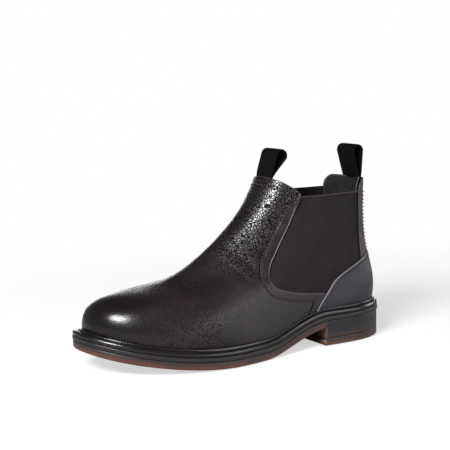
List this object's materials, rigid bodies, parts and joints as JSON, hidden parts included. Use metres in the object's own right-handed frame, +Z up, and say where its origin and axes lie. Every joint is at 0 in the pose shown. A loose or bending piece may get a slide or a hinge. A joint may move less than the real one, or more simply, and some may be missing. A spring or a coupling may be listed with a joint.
{
  "type": "chelsea boot",
  "caption": "Left ankle boot with elastic side gores, front and rear pull loops, welted rubber sole and stacked heel.",
  "frame": {"origin": "on the ground, under the middle of the heel's top lift", "axes": "+Z up, +Y from toe to heel, +X towards the outer side of the left foot"},
  "size_m": [0.1131, 0.305, 0.18],
  "materials": {
    "pebbled_leather": "dark brown pebbled calf, burnished at the toe",
    "smooth_leather": "smooth dark calf, satin",
    "strap_leather": "dark brown calf, satin",
    "lining_leather": "matt black lining leather",
    "facing_leather": "matt dark grey lining leather",
    "gore_elastic": "fine ribbed elastic, matt dark brown",
    "webbing": "black woven tape",
    "welt_rubber": "black, satin, polished on the rim",
    "midsole_rubber": "black, satin",
    "heel_rubber": "black, satin, brown towards the lift",
    "sole_rubber": "rust brown translucent rubber",
    "stiffener_sheet": "impregnated fabric sheet",
    "leatherboard": "leather fibre board",
    "cork": "ground cork",
    "spring_steel": "tempered strip",
    "nail_steel": "bright wire",
    "foam": "soft latex foam",
    "sock_leather": "smooth black sock leather"
  },
  "bodies": {
    "boot": {"vamp": "pebbled_leather", "toe_puff": "stiffener_sheet", "vamp_lining": "lining_leather", "gore_lateral": "gore_elastic", "gore_medial": "gore_elastic", "counter_cover": "smooth_leather", "counter_stiffener": "stiffener_sheet", "heel_lining": "lining_leather", "front_loop_tails": "webbing", "welt": "welt_rubber", "midsole": "midsole_rubber", "outsole": "sole_rubber", "heel_block": "heel_rubber", "heel_top_lift": "sole_rubber", "insole_board": "leatherboard", "bottom_filler": "cork", "shank": "spring_steel", "heel_pad": "foam", "sock_liner": "sock_leather", "heel_nail_1": "nail_steel", "heel_nail_2": "nail_steel", "heel_nail_3": "nail_steel", "heel_nail_4": "nail_steel", "heel_nail_5": "nail_steel"},
    "rear_shaft": {"back_strap": "strap_leather", "back_facing": "facing_leather", "rear_loop_tails": "webbing"},
    "front_pull": {"front_loop": "webbing"},
    "rear_pull": {"rear_loop": "webbing"}
  },
  "joints": [
    {"name": "shaft_opening", "type": "hinge", "parent": "boot", "child": "rear_shaft", "pos_m": [0, 0.0315, 0.081], "axis": [-1, 0, 0], "range_deg": [0, 12], "deforming": ["gore_lateral", "gore_medial"]},
    {"name": "front_pull_hinge", "type": "hinge", "parent": "boot", "child": "front_pull", "pos_m": [0, -0.0772, 0.1586], "axis": [1, 0, 0], "range_deg": [-60, 75]},
    {"name": "rear_pull_hinge", "type": "hinge", "parent": "rear_shaft", "child": "rear_pull", "pos_m": [0, 0.0196, 0.1511], "axis": [1, 0, 0], "range_deg": [-80, 60]}
  ]
}
